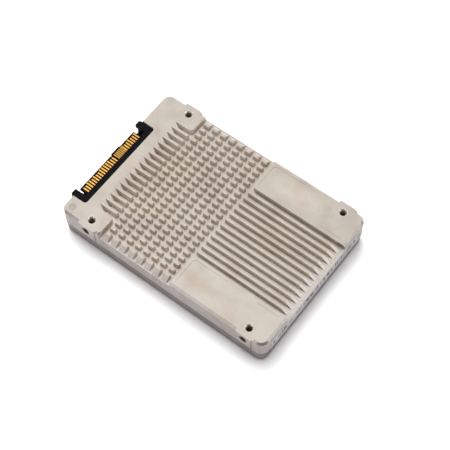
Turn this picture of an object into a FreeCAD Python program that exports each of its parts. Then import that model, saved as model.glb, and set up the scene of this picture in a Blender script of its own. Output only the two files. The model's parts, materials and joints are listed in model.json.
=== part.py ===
import FreeCAD, Part
import math
import os
from FreeCAD import Vector

# A 2.5 inch solid-state storage drive, 15 mm high: a cast housing with pins and fins on its upper face,
# a shallow cast cover underneath, two stacked circuit boards inside and a 68-contact edge plug in front.
# Frame: x across the drive, y towards the plug, z up out of the fins. The origin is the centre of the
# cover face that the drive lies on. All sizes are in millimetres.

# Envelope of the drive
overall_length = 100.45
overall_width = 69.85
overall_height = 15.0

# Tapped holes of the form factor, which come to 61.72 across and 76.6 along the drive
hole_from_side = 4.065
hole_from_plug_end = 14.6
hole_from_rear_end = 9.25
hole_radius = 1.25
hole_mouth_radius = 1.7
face_hole_depth = 4.4
face_boss_radius = 3.2
face_boss_end = 0.9
side_hole_height = 3.0
side_hole_depth = 1.85
drill_point_angle = 118

# Cast housing
plug_reach = 1.3
label_thickness = 0.1
side_pad_proud = 0.525
corner_radius = 3.5
edge_bevel = 0.9
front_bevel = 0.45
housing_wall = 1.3
roof_thickness = 1.3
side_pad_before_hole = 4.5
side_pad_after_hole = 3.9
side_pad_height = 7.6
side_pad_chamfer = 1.25

# Pins, fins and raised pads on the upper face
fin_depth = 2.5
fin_pitch = 3.0
fin_top_width = 1.15
fin_root_spread = 0.25
fin_top_drop = 0.4
boss_reach_x = 5.9
boss_reach_rear = 6.225
front_groove_length = 8.2
front_groove_ramp = 3.2
rear_pad_width = 15.5
rear_pad_length = 44.5
rear_fin_end_gap = 1.4
rear_fin_ramp = 3.3
raised_corner_radius = 1.8
pin_row_pitch = 4.15
pin_top_length = 2.2
pin_first_gap = 2.8
pin_last_gap = 2.9
pin_edge_margin = 2.3
pin_edge_gap = 0.35
panel_depth = 0.15
panel_border = 1.3
panel_outer_border = 2.1
panel_rear_gap = 13.0
panel_corner = 1.0
boss_facet_x = 1.4
boss_facet_y = 1.9
boss_facet_drop = 1.2
channel_end_bevel = 0.45
mark_radius = 1.5
mark_depth = 0.08

# Cover and its joint with the housing
cover_share = 0.3733
cover_plate = 1.2
cover_setback = 0.25
cover_edge_bevel = 1.0
seam_gap = 0.2
lip_height = 1.0
lip_thickness = 0.6
lip_clearance = 0.1
cover_recess_depth = 0.15
cover_recess_border = 7.5
post_radius = 2.6
post_clearance = 0.5
post_from_side = 3.7
post_from_end = 3.7

# Screws
screw_radius = 0.95
screw_bore_gap = 0.15
screw_head_radius = 1.9
screw_head_height = 1.0
screw_socket_radius = 0.9
screw_socket_depth = 0.6
screw_sink = 0.1
cover_screw_grip = 2.6
board_screw_grip = 1.8

# Thickness of each layer, as a share of the room between the cover plate and the roof
lower_pad_share = 0.05
package_share = 0.12
second_board_share = 0.12
board_gap_share = 0.29
main_board_share = 0.16
controller_share = 0.17
memory_share = 0.1
capacitor_share = 0.19
inductor_share = 0.18
power_chip_share = 0.09

# Lengths on the boards, as a share of the main board's length
package_length_share = 0.187
package_row_share = 0.202
package_rear_share = 0.055
controller_side_share = 0.252
controller_gap_share = 0.035
memory_length_share = 0.125
memory_row_share = 0.136
capacitor_length_share = 0.08
inductor_side_share = 0.046
power_chip_side_share = 0.055
front_row_gap_share = 0.022
capacitor_pitch_share = 0.137

# Circuit boards and the packages on them
board_edge_gap = 1.0
board_corner = 1.0
board_post_edge = 3.8
board_post_front_gap = 13.1
board_post_rear_gap = 7.5
board_post_radius = 2.1
spacer_radius = 2.3
package_width = 12.0
package_pitch_x = 13.6
package_columns = 3
package_rows = 2
package_cap_inset = 0.3
package_substrate = 0.35
controller_x = -4.0
memory_width = 7.6
memory_gap = 1.4
capacitor_width = 4.3
capacitor_count = 5
inductor_pitch = 6.4
inductor_count = 4
inductor_bevel_share = 0.125
capacitor_taper_share = 0.125
link_length = 24.0
link_width = 4.6
link_split = 0.52
link_tongue_width = 1.4
link_clearance = 0.15
link_rib_drop_share = 0.125

# Edge plug
plug_offset_x = -4.8
plug_opening_width = 43.7
plug_opening_length = 6.65
plug_opening_radius = 1.3
plug_clearance = 0.15
plug_top_drop = 0.7
plug_bar_length = 2.7
plug_ear_width = 3.0
plug_ear_tip_height = 1.4
plug_ear_tip_chamfer = 0.6
plug_floor_drop = 6.3
plug_floor_thickness = 1.0
plug_guide_width = 1.55
plug_guide_height = 1.7
tongue_centre_drop = 3.5
tongue_thickness = 1.23
tongue_width = 33.8
tongue_tip_gap = 0.4
tongue_lead_in = 0.22
key_slot_offset = 2.42
key_slot_width = 0.7
key_width = 4.85

# Contacts of the plug
contact_pitch = 1.27
contact_width = 0.84
contact_thickness = 0.12
contact_short_gap = 0.9
contact_long_gap = 0.35
contact_tip_chamfer = 0.2
contact_tip_layers = 3
fine_pitch = 0.8
fine_width = 0.46
power_count = 15
power_first = 2.05
signal_count = 7
signal_first = 8.45
key_count = 6
key_first = 3.55
rear_power_count = 23
rear_power_first = 1.95
rear_key_count = 7
rear_key_first = 3.45
rear_signal_count = 10
rear_signal_first = 9.0
tail_length = 1.1
tail_width_share = 0.5
tail_thickness = 0.24
ground_step = 3

# Printed strip on the end face
label_width = 60.8
label_offset_x = 0.5
label_edge_gap = 0.25
label_seam_gap = 0.05
label_corner = 0.6

# Heights worked out from the sizes above
cover_height = cover_share * overall_height
rim_z = cover_height + seam_gap
floor_z = overall_height - fin_depth
roof_z = floor_z - roof_thickness
bevel_z = overall_height - edge_bevel
seat_z = rim_z + lip_height + lip_clearance
stack_room = roof_z - cover_plate
package_height = package_share * stack_room
lower_pad_top_z = cover_plate + lower_pad_share * stack_room
second_bottom_z = lower_pad_top_z + package_height
second_top_z = second_bottom_z + second_board_share * stack_room
board_gap = board_gap_share * stack_room
main_bottom_z = second_top_z + board_gap
link_rib_z = main_bottom_z - link_rib_drop_share * board_gap
main_top_z = main_bottom_z + main_board_share * stack_room
controller_height = controller_share * stack_room
capacitor_height = capacitor_share * stack_room
label_height = floor_z - rim_z - label_edge_gap - label_seam_gap
tongue_z = overall_height - tongue_centre_drop
tongue_top_z = tongue_z + tongue_thickness / 2
tongue_bottom_z = tongue_z - tongue_thickness / 2
plug_top_z = overall_height - plug_top_drop
plug_floor_z = overall_height - plug_floor_drop

# Places along the drive
front_y = overall_length / 2
housing_front = front_y - plug_reach
housing_rear = -overall_length / 2 + label_thickness
hole_front_y = front_y - hole_from_plug_end
hole_rear_y = -front_y + hole_from_rear_end
boss_rear_y = hole_front_y - boss_reach_rear
pad_front_y = housing_rear + rear_pad_length
plug_back_y = housing_front - plug_opening_length
shell_back_y = plug_back_y + plug_clearance
bar_front_y = shell_back_y + plug_bar_length
shell_front_y = housing_front - plug_clearance / 2
tongue_tip_y = front_y - tongue_tip_gap
board_front_y = bar_front_y - plug_floor_thickness - plug_clearance
board_rear_y = housing_rear + housing_wall + lip_clearance + lip_thickness + board_edge_gap
board_length = board_front_y - board_rear_y
package_length = package_length_share * board_length
package_pitch_y = package_row_share * board_length
controller_side = controller_side_share * board_length
memory_length = memory_length_share * board_length
memory_pitch = memory_row_share * board_length
capacitor_length = capacitor_length_share * board_length
inductor_side = inductor_side_share * board_length
power_chip_side = power_chip_side_share * board_length
front_row_gap = front_row_gap_share * board_length

# Places across the drive
wall_x = overall_width / 2 - side_pad_proud
hole_x = overall_width / 2 - hole_from_side
post_x = wall_x - post_from_side
lip_inset = housing_wall + lip_clearance
cover_wall = lip_inset + lip_thickness
board_x = wall_x - cover_wall - board_edge_gap
board_post_x = board_x - board_post_edge
capacitor_pitch = capacitor_pitch_share * 2 * board_x
groove_half = (fin_pitch - fin_top_width) / 2

# Fins, grooves and pins that fit the width and length left between the raised pads
front_half_count = int((hole_x - boss_reach_x) / fin_pitch)
rear_half_count = int((wall_x - rear_pad_width) / fin_pitch)
pin_half_count = int((wall_x - pin_edge_margin - fin_pitch / 2) / fin_pitch) + 1
pin_row_count = int((boss_rear_y - pad_front_y - pin_first_gap - pin_last_gap) / pin_row_pitch) + 1
pad_inner_x = rear_half_count * fin_pitch + groove_half

quarter_turn = 90
hexagon_sides = 6
match_tolerance = 0.01
UP = Vector(0, 0, 1)


def box(x0, x1, y0, y1, z0, z1):
    """Plain block between two corners."""
    return Part.makeBox(x1 - x0, y1 - y0, z1 - z0, Vector(x0, y0, z0))


def cylinder(x, y, z0, z1, radius):
    """Upright round bar."""
    return Part.makeCylinder(radius, z1 - z0, Vector(x, y, z0), UP)


def rounded_outline(x0, x1, y0, y1, radius, z):
    """Closed outline of a rectangle with round corners at height z."""
    centres = [(x1 - radius, y1 - radius), (x0 + radius, y1 - radius),
               (x0 + radius, y0 + radius), (x1 - radius, y0 + radius)]
    arcs = []
    for quarter, (x, y) in enumerate(centres):
        start = quarter_turn * quarter
        arcs.append(Part.makeCircle(radius, Vector(x, y, z), UP, start, start + quarter_turn))
    edges = []
    for index, arc in enumerate(arcs):
        following = arcs[(index + 1) % len(arcs)]
        corner_end = arc.valueAt(arc.LastParameter)
        corner_start = following.valueAt(following.FirstParameter)
        edges += [arc, Part.makeLine(corner_end, corner_start)]
    return Part.Wire(edges)


def rounded_block(x0, x1, y0, y1, z0, z1, radius):
    """Block whose upright edges are round."""
    face = Part.Face(rounded_outline(x0, x1, y0, y1, radius, z0))
    return face.extrude(Vector(0, 0, z1 - z0))


def tapered_block(lower, upper, z0, z1):
    """Block whose four sides lean, between two rectangles given as x0, x1, y0, y1."""
    if z1 < z0:
        lower, upper, z0, z1 = upper, lower, z1, z0
    wedge = Part.makeWedge(lower[0], z0, -lower[3], -upper[3], upper[0],
                           lower[1], z1, -lower[2], -upper[2], upper[1])
    wedge.rotate(Vector(0, 0, 0), Vector(1, 0, 0), quarter_turn)
    return wedge


def plan_prism(points, z0, z1):
    """Upright prism over a closed outline given as x and y pairs."""
    wire = Part.makePolygon([Vector(x, y, z0) for x, y in points + points[:1]])
    return Part.Face(wire).extrude(Vector(0, 0, z1 - z0))


def mirrored(shape):
    """The same shape on the other side of the drive's middle."""
    return shape.mirror(Vector(0, 0, 0), Vector(1, 0, 0))


def group(shapes):
    """Separate like pieces kept together in one node."""
    return Part.makeCompound(shapes)


def join(first, others):
    """One solid out of a carrier and what is cast or moulded on it."""
    return first.multiFuse(others).removeSplitter()


def hole_places():
    """Centres of the four holes in the upper face."""
    return [(side * hole_x, y) for side in (-1, 1) for y in (hole_front_y, hole_rear_y)]


def post_places():
    """Centres of the four corner posts that the cover screws go into."""
    ends = (housing_front - post_from_end, housing_rear + post_from_end)
    return [(side * post_x, y) for side in (-1, 1) for y in ends]


def board_post_places():
    """Centres of the four screws that carry the boards."""
    rows = (hole_front_y - board_post_front_gap, hole_rear_y + board_post_rear_gap)
    return [(side * board_post_x, y) for side in (-1, 1) for y in rows]


def housing_envelope():
    """Outer form of the casting: upright walls and a bevel round the upper edge."""
    lower = rounded_outline(-wall_x, wall_x, housing_rear, housing_front, corner_radius, bevel_z)
    upper = rounded_outline(-wall_x + edge_bevel, wall_x - edge_bevel, housing_rear + edge_bevel,
                            housing_front - front_bevel, corner_radius - edge_bevel, overall_height)
    walls = rounded_block(-wall_x, wall_x, housing_rear, housing_front, rim_z, bevel_z, corner_radius)
    return walls.fuse(Part.makeLoft([lower, upper], True, True))


def side_pad(hole_y):
    """Machined pad that brings the side face out to the full width round a side hole."""
    inner = wall_x - 2 * edge_bevel
    outer = overall_width / 2
    rear = hole_y - side_pad_before_hole
    front = hole_y + side_pad_after_hole
    outline = [(inner, rear), (wall_x, rear), (outer, rear + side_pad_chamfer),
               (outer, front - side_pad_proud / 2), (wall_x, front), (inner, front)]
    pad = plan_prism(outline, overall_height - side_pad_height, overall_height)
    foot = overall_height - side_pad_height
    slope = Part.makePolygon([Vector(outer + side_pad_proud, rear, foot - side_pad_proud),
                              Vector(wall_x - side_pad_proud, rear, foot - side_pad_proud),
                              Vector(outer + side_pad_proud, rear, foot + 2 * side_pad_proud),
                              Vector(outer + side_pad_proud, rear, foot - side_pad_proud)])
    return pad.cut(Part.Face(slope).extrude(Vector(0, front - rear, 0)))


def front_groove(x):
    """Space between two front fins, with a ramp at its closed end."""
    open_end = boss_rear_y - fin_pitch
    top_end = boss_rear_y + front_groove_length
    half_root = groove_half - fin_root_spread
    lower = (x - half_root, x + half_root, open_end, top_end - front_groove_ramp)
    upper = (x - groove_half, x + groove_half, open_end, top_end)
    return tapered_block(lower, upper, floor_z, overall_height)


def rear_fin(x):
    """Long fin between the rear pads, with a ramp down to the floor at its rear end."""
    half_top = fin_top_width / 2
    half_root = half_top + fin_root_spread
    rear_end = housing_rear + rear_fin_end_gap
    lower = (x - half_root, x + half_root, rear_end, pad_front_y)
    upper = (x - half_top, x + half_top, rear_end + rear_fin_ramp, pad_front_y)
    return tapered_block(lower, upper, floor_z, overall_height - fin_top_drop)


def pin(column, y):
    """One cooling pin; the outermost of a row leans out to the side wall."""
    x = (column + 0.5) * fin_pitch
    half_top = fin_top_width / 2
    half_root = half_top + fin_root_spread
    outer_root = wall_x - pin_edge_gap if column == pin_half_count - 1 else x + half_root
    half_length = pin_top_length / 2
    root_length = half_length + fin_root_spread
    lower = (x - half_root, outer_root, y - root_length, y + root_length)
    upper = (x - half_top, x + half_top, y - half_length, y + half_length)
    return tapered_block(lower, upper, floor_z, overall_height - fin_top_drop)


def pins():
    """All rows of pins on both halves of the field."""
    shapes = []
    for row in range(pin_row_count):
        y = boss_rear_y - pin_first_gap - row * pin_row_pitch
        for column in range(pin_half_count):
            one = pin(column, y)
            shapes += [one, mirrored(one)]
    return shapes


def field_cuts():
    """What is taken out of the upper face: the pin field, the rear channel and the front grooves."""
    over = overall_height + fin_depth
    beyond = wall_x + corner_radius
    field = box(-beyond, beyond, pad_front_y, boss_rear_y, floor_z, over)
    channel = box(-pad_inner_x, pad_inner_x, housing_rear - corner_radius, pad_front_y, floor_z, over)
    grooves = [front_groove(step * fin_pitch) for step in range(-front_half_count, front_half_count + 1)]
    return [field, channel] + grooves


def corner_edges(shape):
    """Upright edges where the raised pads meet the pin field."""
    boss_edge = front_half_count * fin_pitch + groove_half
    found = []
    for edge in shape.Edges:
        middle = edge.CenterOfMass
        upright = edge.BoundBox.YLength < match_tolerance
        tall = upright and abs(edge.BoundBox.ZLength - fin_depth) < match_tolerance
        at_pad_end = abs(middle.y - pad_front_y) < match_tolerance
        at_pad = at_pad_end and abs(abs(middle.x) - pad_inner_x) < match_tolerance
        at_boss_end = abs(middle.y - boss_rear_y) < match_tolerance
        at_boss = at_boss_end and abs(abs(middle.x) - boss_edge) < fin_root_spread
        if tall and (at_pad or at_boss):
            found.append(edge)
    return found


def space_above(corners):
    """Everything above a flat outline, as the cutter of a sloping face."""
    outline = [Vector(*corner) for corner in corners]
    return Part.Face(Part.makePolygon(outline + outline[:1])).extrude(Vector(0, 0, fin_depth))


def pad_panels():
    """Recessed panels in the two rear pads, whose floor rises to the pad's face at the rear."""
    inner = pad_inner_x + panel_border
    outer = wall_x - panel_outer_border
    rear = housing_rear + panel_rear_gap
    front = pad_front_y - panel_border
    shoulder = front - panel_corner
    deep = overall_height - panel_depth
    shoulder_z = overall_height - panel_depth * (shoulder - rear) / (front - rear)
    panel = space_above([(inner, rear, overall_height), (outer, rear, overall_height),
                         (outer, shoulder, shoulder_z), (outer - panel_corner, front, deep),
                         (inner + panel_corner, front, deep), (inner, shoulder, shoulder_z)])
    return [panel, mirrored(panel)]


def boss_facets():
    """Sloping facet at the outer rear corner of each front boss."""
    facet = space_above([(wall_x - boss_facet_x, boss_rear_y, overall_height),
                         (wall_x, boss_rear_y, overall_height - boss_facet_drop),
                         (wall_x, boss_rear_y + boss_facet_y, overall_height)])
    return [facet, mirrored(facet)]


def channel_end():
    """Bevel along the rear edge of the floor between the rear pads."""
    wedge = [(-pad_inner_x, housing_rear, floor_z - label_edge_gap),
             (pad_inner_x, housing_rear, floor_z - label_edge_gap),
             (pad_inner_x, housing_rear + channel_end_bevel, floor_z),
             (-pad_inner_x, housing_rear + channel_end_bevel, floor_z)]
    return space_above(wedge)


def ejector_mark():
    """Round witness of an ejector in the corner beside the plug."""
    y = housing_front - corner_radius
    return cylinder(-hole_x, y, overall_height - mark_depth, overall_height + mark_depth, mark_radius)


def tapped_hole(mouth, direction, depth):
    """Drilled hole with a countersunk mouth, as the cutter that makes it."""
    sink = hole_mouth_radius - hole_radius
    wall = Part.makeCylinder(hole_radius, depth, mouth, direction)
    countersink = Part.makeCone(hole_mouth_radius, hole_radius, sink, mouth, direction)
    return wall.fuse(countersink)


def side_hole(x, y):
    """Short hole in a side face; its drill point ends just before the hole in the upper face."""
    inward = Vector(-math.copysign(1, x), 0, 0)
    mouth = Vector(math.copysign(overall_width / 2, x), y, overall_height - side_hole_height)
    point = hole_radius / math.tan(math.radians(drill_point_angle / 2))
    tip = Part.makeCone(hole_radius, 0, point, mouth + inward * side_hole_depth, inward)
    return tapped_hole(mouth, inward, side_hole_depth).fuse(tip)


def form_factor_holes():
    """Four holes in the upper face and two in each side face."""
    cutters = []
    for x, y in hole_places():
        cutters.append(tapped_hole(Vector(x, y, overall_height), Vector(0, 0, -1), face_hole_depth))
        cutters.append(side_hole(x, y))
    return cutters


def housing_room():
    """Hollow of the housing, with the screw posts left standing in it."""
    room = rounded_block(-wall_x + housing_wall, wall_x - housing_wall, housing_rear + housing_wall,
                         housing_front - housing_wall, rim_z - lip_height, roof_z,
                         corner_radius - housing_wall)
    boss_z = overall_height - face_hole_depth - face_boss_end
    posts = [cylinder(x, y, boss_z, roof_z, face_boss_radius) for x, y in hole_places()]
    posts += [cylinder(x, y, seat_z, roof_z, post_radius) for x, y in post_places()]
    posts += [cylinder(x, y, main_top_z, roof_z, board_post_radius) for x, y in board_post_places()]
    return room.cut(posts)


def plug_opening():
    """Cut in the front of the housing that the plug lies in."""
    half = plug_opening_width / 2
    return rounded_block(plug_offset_x - half, plug_offset_x + half, plug_back_y, front_y + corner_radius,
                         plug_floor_z - plug_floor_thickness - plug_clearance,
                         overall_height + plug_clearance, plug_opening_radius)


def screw_bores():
    """Blind threaded bores for the cover screws and the board screws."""
    bores = [cylinder(x, y, seat_z - lip_height, seat_z + cover_screw_grip, screw_radius)
             for x, y in post_places()]
    bores += [cylinder(x, y, main_top_z - lip_height, main_top_z + board_screw_grip, screw_radius)
              for x, y in board_post_places()]
    return bores


def finned_housing():
    """The casting, with its pins and fins."""
    shape = housing_envelope().cut(field_cuts())
    shape = shape.makeFillet(raised_corner_radius, corner_edges(shape))
    pads = [side_pad(y) for y in (hole_front_y, hole_rear_y)]
    pads += [mirrored(pad) for pad in pads]
    fins = [rear_fin((step + 0.5) * fin_pitch) for step in range(-rear_half_count, rear_half_count)]
    shape = join(shape.cut(boss_facets()), pads)
    shape = shape.cut([housing_room(), plug_opening(), ejector_mark(), channel_end()] + pad_panels()
                      + form_factor_holes())
    shape = shape.cut(screw_bores())
    return join(shape, fins + pins())


def cover_shell():
    """Tray of the cover with a bevelled lower edge."""
    x = wall_x - cover_setback
    rear = housing_rear + cover_setback
    front = housing_front - cover_setback
    tray = rounded_block(-x, x, rear, front, 0, cover_height, corner_radius)
    lower_edges = [edge for edge in tray.Edges if edge.BoundBox.ZMax < match_tolerance]
    return tray.makeChamfer(cover_edge_bevel, lower_edges)


def inside_outline(inset, z0, z1):
    """Block that follows the housing's outline, set in by the given amount."""
    return rounded_block(-wall_x + inset, wall_x - inset, housing_rear + inset, housing_front - inset,
                         z0, z1, corner_radius - inset)


def bottom_cover():
    """Shallow cast cover with a lip that enters the housing and four screw posts."""
    lip = inside_outline(lip_inset, cover_plate, rim_z + lip_height)
    room = inside_outline(cover_wall, cover_plate, seat_z + lip_height)
    inside = inside_outline(lip_inset, 0, seat_z)
    posts = [cylinder(x, y, cover_plate, seat_z, post_radius).common(inside) for x, y in post_places()]
    shape = join(cover_shell().fuse(lip).cut(room), posts)
    bore = screw_radius + screw_bore_gap
    head = screw_head_radius + screw_bore_gap
    holes = [cylinder(x, y, 0, seat_z, bore) for x, y in post_places()]
    holes += [cylinder(x, y, 0, screw_sink + screw_head_height, head) for x, y in post_places()]
    inset = cover_recess_border
    recess = rounded_block(-wall_x + inset, wall_x - inset, housing_rear + inset, housing_front - inset,
                           0, cover_recess_depth, corner_radius)
    return shape.cut(holes + [recess])


def hexagon(x, y, z0, z1, radius):
    """Upright six-sided bar whose corners lie at the given radius."""
    turns = [2 * math.pi * corner / hexagon_sides for corner in range(hexagon_sides)]
    return plan_prism([(x + radius * math.cos(turn), y + radius * math.sin(turn)) for turn in turns], z0, z1)


def screw(x, y, head_z, tip_z):
    """Cylinder-head screw with a hexagon socket, head down."""
    head = cylinder(x, y, head_z, head_z + screw_head_height, screw_head_radius)
    shank = cylinder(x, y, head_z + screw_head_height, tip_z, screw_radius)
    socket = hexagon(x, y, head_z, head_z + screw_socket_depth, screw_socket_radius)
    return join(head, [shank]).cut(socket)


def cover_screws():
    """Four screws through the cover into the housing's corner posts."""
    tip = seat_z + cover_screw_grip - screw_bore_gap
    return group([screw(x, y, screw_sink, tip) for x, y in post_places()])


def board_screws():
    """Four screws that clamp both boards and the spacers to the housing."""
    tip = main_top_z + board_screw_grip - screw_bore_gap
    return group([screw(x, y, second_bottom_z - screw_head_height, tip) for x, y in board_post_places()])


def board_spacers():
    """Six-sided tubes that keep the two boards apart."""
    tubes = []
    for x, y in board_post_places():
        tube = hexagon(x, y, second_top_z, main_bottom_z, spacer_radius)
        tubes.append(tube.cut(cylinder(x, y, second_top_z, main_bottom_z, screw_radius + screw_bore_gap)))
    return group(tubes)


def corner_notch(x, y, z0, z1):
    """Round-ended cut that clears a corner post out to both edges of a board."""
    notch = post_radius + post_clearance
    out_x = x + math.copysign(2 * notch, x)
    out_y = y + math.copysign(2 * notch, y)
    across = box(min(x, out_x), max(x, out_x), y - notch, y + notch, z0, z1)
    along = box(x - notch, x + notch, min(y, out_y), max(y, out_y), z0, z1)
    return cylinder(x, y, z0, z1, notch).multiFuse([across, along])


def board(z0, z1, front):
    """Circuit board with notches round the corner posts and holes for its screws."""
    plate = rounded_block(-board_x, board_x, board_rear_y, front, z0, z1, board_corner)
    cuts = [corner_notch(x, y, z0, z1) for x, y in post_places()]
    cuts += [cylinder(x, y, z0, z1, screw_radius + screw_bore_gap) for x, y in board_post_places()]
    return plate.cut(cuts)


def main_board():
    """Upper board, which carries the plug and the controller."""
    return board(main_bottom_z, main_top_z, board_front_y)


def second_board():
    """Lower board, which carries more memory."""
    return board(second_bottom_z, second_top_z, board_front_y - plug_opening_length)


def package(x, y, width, length, height, z, up=1):
    """Chip package: a flat substrate on the board with a moulded cap that tapers a little."""
    half_x = width / 2
    half_y = length / 2
    inset = package_cap_inset
    step_z = z + up * package_substrate
    top_z = z + up * height
    base = box(x - half_x, x + half_x, y - half_y, y + half_y, min(z, step_z), max(z, step_z))
    lower = (x - half_x + inset, x + half_x - inset, y - half_y + inset, y + half_y - inset)
    upper = (lower[0] + inset / 2, lower[1] - inset / 2, lower[2] + inset / 2, lower[3] - inset / 2)
    return base.fuse(tapered_block(lower, upper, step_z, top_z)).removeSplitter()


def package_places():
    """Centres of the memory packages, in rows from the rear of the boards."""
    first_y = board_rear_y + package_rear_share * board_length + package_length / 2
    middle = (package_columns - 1) / 2
    return [((column - middle) * package_pitch_x, first_y + row * package_pitch_y)
            for column in range(package_columns) for row in range(package_rows)]


def packages(z, up):
    """The memory packages on one face of a board."""
    return group([package(x, y, package_width, package_length, package_height, z, up)
                  for x, y in package_places()])


def pads_over_packages(z0, z1):
    """Soft heat-conducting sheets, one on each memory package of a face."""
    half_x = package_width / 2 - package_cap_inset * 2
    half_y = package_length / 2 - package_cap_inset * 2
    return group([box(x - half_x, x + half_x, y - half_y, y + half_y, z0, z1) for x, y in package_places()])


def controller_y():
    """Middle of the controller, in front of the memory packages."""
    last_row = board_rear_y + package_rear_share * board_length + package_length + package_pitch_y
    return last_row + controller_gap_share * board_length + controller_side / 2


def controller_chip():
    """Controller package on the main board."""
    side = controller_side
    return package(controller_x, controller_y(), side, side, controller_height, main_top_z)


def controller_pad():
    """Heat-conducting sheet between the controller and the roof."""
    half = controller_side / 2 - package_cap_inset * 2
    y = controller_y()
    z0 = main_top_z + controller_height
    return box(controller_x - half, controller_x + half, y - half, y + half, z0, roof_z)


def memory_chips():
    """Two buffer memory chips on each side of the controller."""
    height = memory_share * stack_room
    shapes = []
    for side in (-1, 1):
        x = controller_x + side * (controller_side / 2 + memory_gap + memory_width / 2)
        for step in (-0.5, 0.5):
            y = controller_y() + step * memory_pitch
            shapes.append(package(x, y, memory_width, memory_length, height, main_top_z))
    return group(shapes)


def capacitor(x, y):
    """Moulded capacitor with a folded metal terminal at each end."""
    half_x = capacitor_width / 2
    half_y = capacitor_length / 2
    z1 = main_top_z + capacitor_height
    tip = capacitor_taper_share * capacitor_height
    lower = (x - half_x, x + half_x, y - half_y + tip, y + half_y - tip)
    upper = (lower[0] + tip, lower[1] - tip, lower[2] + tip, lower[3] - tip)
    body = tapered_block(lower, upper, main_top_z, z1)
    terminals = box(x - half_x / 2, x + half_x / 2, y - half_y, y + half_y, main_top_z,
                    main_top_z + capacitor_height / 2)
    return join(body, [terminals])


def capacitor_row_y():
    """Middle of the row of hold-up capacitors, in front of the controller."""
    return controller_y() + controller_side / 2 + front_row_gap + capacitor_length / 2


def hold_up_capacitors():
    """Row of capacitors that keep the drive alive while it saves its data."""
    first = controller_x - (capacitor_count - 1) / 2 * capacitor_pitch
    return group([capacitor(first + step * capacitor_pitch, capacitor_row_y())
                  for step in range(capacitor_count)])


def front_row_y():
    """Middle of the row of power parts behind the plug."""
    return capacitor_row_y() + capacitor_length / 2 + front_row_gap + inductor_side / 2


def power_inductors():
    """Four pressed inductors of the power supply, with bevelled upright edges."""
    half = inductor_side / 2
    bevel = inductor_bevel_share * inductor_side
    top_z = main_top_z + inductor_share * stack_room
    y = front_row_y()
    shapes = []
    for step in range(inductor_count):
        x = plug_offset_x - plug_opening_width / 4 + step * inductor_pitch
        block = box(x - half, x + half, y - half, y + half, main_top_z, top_z)
        upright = [edge for edge in block.Edges if edge.BoundBox.ZLength > bevel]
        shapes.append(block.makeChamfer(bevel, upright))
    return group(shapes)


def power_chip():
    """Power control chip beside the inductors."""
    x = plug_offset_x - plug_opening_width / 4 + inductor_count * inductor_pitch
    height = power_chip_share * stack_room
    return package(x, front_row_y(), power_chip_side, power_chip_side, height, main_top_z)


def board_plug():
    """Lower half of the connector pair, with a rib that enters the upper half."""
    y = controller_y()
    half_x = link_length / 2
    split = second_top_z + board_gap * link_split
    base = box(-half_x, half_x, y - link_width / 2, y + link_width / 2, second_top_z, split)
    rib = box(-half_x + link_width / 2, half_x - link_width / 2, y - link_tongue_width / 2,
              y + link_tongue_width / 2, split, link_rib_z)
    return join(base, [rib])


def board_socket():
    """Upper half of the connector pair, with a slot for the rib."""
    y = controller_y()
    half_x = link_length / 2
    split = second_top_z + board_gap * link_split
    base = box(-half_x, half_x, y - link_width / 2, y + link_width / 2, split, main_bottom_z)
    slot_x = half_x - link_width / 2 + link_clearance
    slot_y = link_tongue_width / 2 + link_clearance
    slot = box(-slot_x, slot_x, y - slot_y, y + slot_y, split, link_rib_z + link_clearance)
    return base.cut(slot)


def plug_ear(side):
    """Guide arm at one end of the plug, with a thin nose that stands out of the housing."""
    outer = plug_opening_width / 2 - plug_clearance
    inner = outer - plug_ear_width
    chamfer = plug_ear_tip_chamfer
    arm = box(inner, outer, bar_front_y, shell_front_y, plug_floor_z - plug_floor_thickness, plug_top_z)
    nose = plan_prism([(inner, shell_front_y), (outer, shell_front_y), (outer, front_y - chamfer),
                       (outer - chamfer, front_y), (inner + chamfer / 2, front_y),
                       (inner, front_y - chamfer / 2)], plug_top_z - plug_ear_tip_height, plug_top_z)
    guide = box(inner - plug_guide_width, inner, bar_front_y, shell_front_y, plug_floor_z,
                plug_floor_z + plug_guide_height)
    ear = join(arm, [nose, guide])
    if side < 0:
        ear = mirrored(ear)
    return ear.translated(Vector(plug_offset_x, 0, 0))


def tongue_section(x0, x1, tip_y):
    """Stretch of the contact tongue with a lead-in at its front edge."""
    lead = tongue_lead_in
    y0 = bar_front_y - plug_clearance
    outline = [(y0, tongue_bottom_z), (tip_y - lead, tongue_bottom_z), (tip_y, tongue_bottom_z + lead),
               (tip_y, tongue_top_z - lead), (tip_y - lead, tongue_top_z), (y0, tongue_top_z)]
    wire = Part.makePolygon([Vector(x0, y, z) for y, z in outline + outline[:1]])
    return Part.Face(wire).extrude(Vector(x1 - x0, 0, 0))


def bar_outline(bottom_z):
    """Outer form of the plug's back, whose two rear corners follow those of the opening."""
    half = plug_opening_width / 2 - plug_clearance
    beyond = bar_front_y + 2 * plug_opening_radius
    block = rounded_block(plug_offset_x - half, plug_offset_x + half, shell_back_y, beyond, bottom_z,
                          plug_top_z, plug_opening_radius - plug_clearance)
    return block.cut(box(-wall_x, wall_x, bar_front_y, beyond, 0, overall_height))


def connector_shell():
    """Moulded body of the plug: back bar, two ears, floor and the tongue that carries the contacts."""
    half = plug_opening_width / 2 - plug_clearance
    middle = plug_offset_x
    bar = bar_outline(main_top_z)
    underside = plug_floor_z - plug_floor_thickness
    web_y = board_front_y + plug_clearance
    web = box(middle - half, middle + half, web_y, bar_front_y, underside, plug_top_z)
    floor = box(middle - half, middle + half, web_y, shell_front_y, underside, plug_floor_z)
    slot_end = middle + key_slot_offset + key_slot_width
    tongue = [tongue_section(middle - tongue_width / 2, middle + key_slot_offset, tongue_tip_y),
              tongue_section(slot_end, slot_end + key_width, front_y),
              tongue_section(slot_end, middle + tongue_width / 2, tongue_tip_y)]
    return join(bar, [web.common(bar_outline(underside)), floor, plug_ear(-1), plug_ear(1)] + tongue)


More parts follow.
